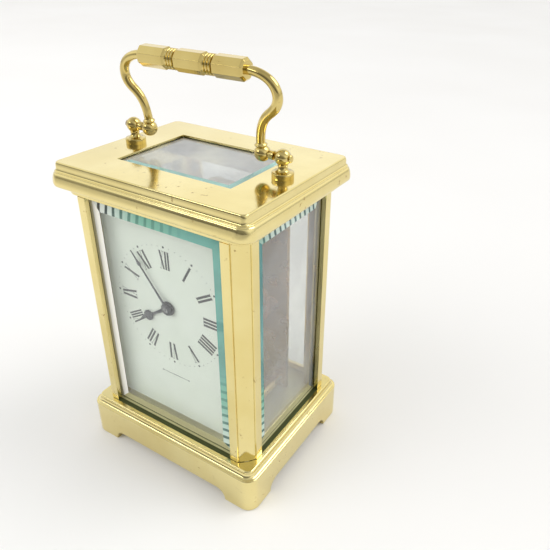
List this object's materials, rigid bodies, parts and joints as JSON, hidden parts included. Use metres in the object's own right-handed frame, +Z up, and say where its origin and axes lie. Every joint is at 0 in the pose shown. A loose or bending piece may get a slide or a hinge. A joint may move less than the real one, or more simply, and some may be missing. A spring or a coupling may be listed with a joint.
{
  "type": "carriage clock",
  "caption": "Glazed brass carriage clock with folding handle, hinged rear door, enamel dial, two hands, spring barrel, gear train and lever platform escapement.",
  "frame": {"origin": "centre of the footprint, on the surface the clock stands on", "axes": "+Z up, -Y out of the dial, +X to the right of someone facing the dial"},
  "size_m": [0.0878, 0.0698, 0.1628],
  "materials": {
    "case_brass": "polished, lacquered, faint hairlines",
    "bevelled_glass": "polished, bevelled edges",
    "enamel": "fired white enamel, glossy",
    "movement_brass": "satin gilt",
    "wheel_brass": "polished",
    "steel": "polished steel",
    "blued_steel": "heat-blued, polished",
    "ruby": "polished synthetic ruby"
  },
  "bodies": {
    "case": {"base": "case_brass", "top_plate": "case_brass", "pillar_front_left": "case_brass", "pillar_front_right": "case_brass", "pillar_rear_left": "case_brass", "pillar_rear_right": "case_brass", "front_glass": "bevelled_glass", "left_glass": "bevelled_glass", "right_glass": "bevelled_glass", "top_glass": "bevelled_glass", "handle_posts": "case_brass", "case_screws": "steel", "movement_screws": "steel", "dial": "enamel", "front_plate": "movement_brass", "back_plate": "movement_brass", "plate_pillars": "movement_brass", "plate_screws": "blued_steel", "platform": "movement_brass", "platform_screws": "blued_steel", "balance_cock": "movement_brass", "train_cock": "movement_brass", "escape_potence": "movement_brass", "jewels": "ruby", "click_spring": "blued_steel"},
    "door": {"door_frame": "case_brass", "door_glass": "bevelled_glass", "door_knob": "case_brass", "door_pins": "steel"},
    "handle": {"handle_grip": "case_brass", "handle_arm_left": "case_brass", "handle_arm_right": "case_brass", "handle_pivot_screws": "case_brass"},
    "winding_arbor": {"barrel_arbor": "steel", "ratchet_wheel": "steel"},
    "click": {"click": "steel"},
    "barrel": {"barrel": "wheel_brass", "barrel_cap": "wheel_brass", "mainspring": "steel"},
    "intermediate": {"intermediate_arbor": "steel", "intermediate_wheel": "wheel_brass"},
    "centre": {"centre_arbor": "steel", "centre_wheel": "wheel_brass", "cannon_pinion": "steel", "minute_hand": "blued_steel", "hand_collet": "blued_steel"},
    "minute_wheel": {"minute_wheel": "wheel_brass"},
    "hour": {"hour_wheel": "wheel_brass", "hour_hand": "blued_steel"},
    "third": {"third_arbor": "steel", "third_wheel": "wheel_brass"},
    "contrate": {"contrate_arbor": "steel", "contrate_wheel": "wheel_brass"},
    "escape": {"escape_arbor": "steel", "escape_wheel": "wheel_brass"},
    "lever": {"lever": "steel"},
    "balance": {"balance_wheel": "wheel_brass", "balance_staff": "steel", "hairspring": "blued_steel"}
  },
  "joints": [
    {"name": "door_swing", "type": "hinge", "parent": "case", "child": "door", "pos_m": [-0.0284, 0.0291, 0.066], "axis": [0, 0, 1], "range_deg": [0, 100]},
    {"name": "handle_fold", "type": "hinge", "parent": "case", "child": "handle", "pos_m": [0, 0, 0.1323], "axis": [1, 0, 0], "range_deg": [-101, 89]},
    {"name": "winding_turn", "type": "hinge", "parent": "case", "child": "winding_arbor", "pos_m": [-0.00501, 0, 0.05097], "axis": [0, 1, 0], "continuous": true},
    {"name": "click_lift", "type": "hinge", "parent": "case", "child": "click", "pos_m": [-0.00041, 0, 0.05894], "axis": [0, 1, 0], "range_deg": [0, 12]},
    {"name": "centre_turn", "type": "hinge", "parent": "case", "child": "centre", "pos_m": [0, 0, 0.0748], "axis": [0, 1, 0], "continuous": true},
    {"name": "hour_turn", "type": "hinge", "parent": "case", "child": "hour", "pos_m": [0, 0, 0.0748], "axis": [0, 1, 0], "continuous": true},
    {"name": "minute_wheel_turn", "type": "hinge", "parent": "case", "child": "minute_wheel", "pos_m": [0.00643, 0, 0.0694], "axis": [0, 1, 0], "continuous": true},
    {"name": "intermediate_turn", "type": "hinge", "parent": "case", "child": "intermediate", "pos_m": [0.00897, 0, 0.06448], "axis": [0, 1, 0], "continuous": true},
    {"name": "barrel_turn", "type": "hinge", "parent": "case", "child": "barrel", "pos_m": [-0.00501, 0, 0.05097], "axis": [0, 1, 0], "continuous": true},
    {"name": "third_turn", "type": "hinge", "parent": "case", "child": "third", "pos_m": [-0.00921, 0, 0.08392], "axis": [0, 1, 0], "continuous": true},
    {"name": "contrate_turn", "type": "hinge", "parent": "case", "child": "contrate", "pos_m": [-0.009, 0, 0.0948], "axis": [0, 1, 0], "continuous": true},
    {"name": "escape_turn", "type": "hinge", "parent": "case", "child": "escape", "pos_m": [-0.009, 0, 0.1096], "axis": [0, 0, 1], "continuous": true},
    {"name": "lever_rock", "type": "hinge", "parent": "case", "child": "lever", "pos_m": [-0.0032, 0, 0.1096], "axis": [0, 0, 1], "range_deg": [-5, 5]},
    {"name": "balance_swing", "type": "hinge", "parent": "case", "child": "balance", "pos_m": [0.005, 0, 0.1138], "axis": [0, 0, 1], "range_deg": [-150, 150], "stiffness_Nm_per_rad": 0.000005}
  ],
  "couplings": [
    {"joint": "hour_turn", "follows": "centre_turn", "ratio": 0.083333},
    {"joint": "minute_wheel_turn", "follows": "centre_turn", "ratio": -0.33333},
    {"joint": "intermediate_turn", "follows": "centre_turn", "ratio": -0.1875},
    {"joint": "barrel_turn", "follows": "centre_turn", "ratio": 0.026786},
    {"joint": "third_turn", "follows": "centre_turn", "ratio": -8},
    {"joint": "contrate_turn", "follows": "centre_turn", "ratio": 60},
    {"joint": "escape_turn", "follows": "centre_turn", "ratio": 600}
  ]
}
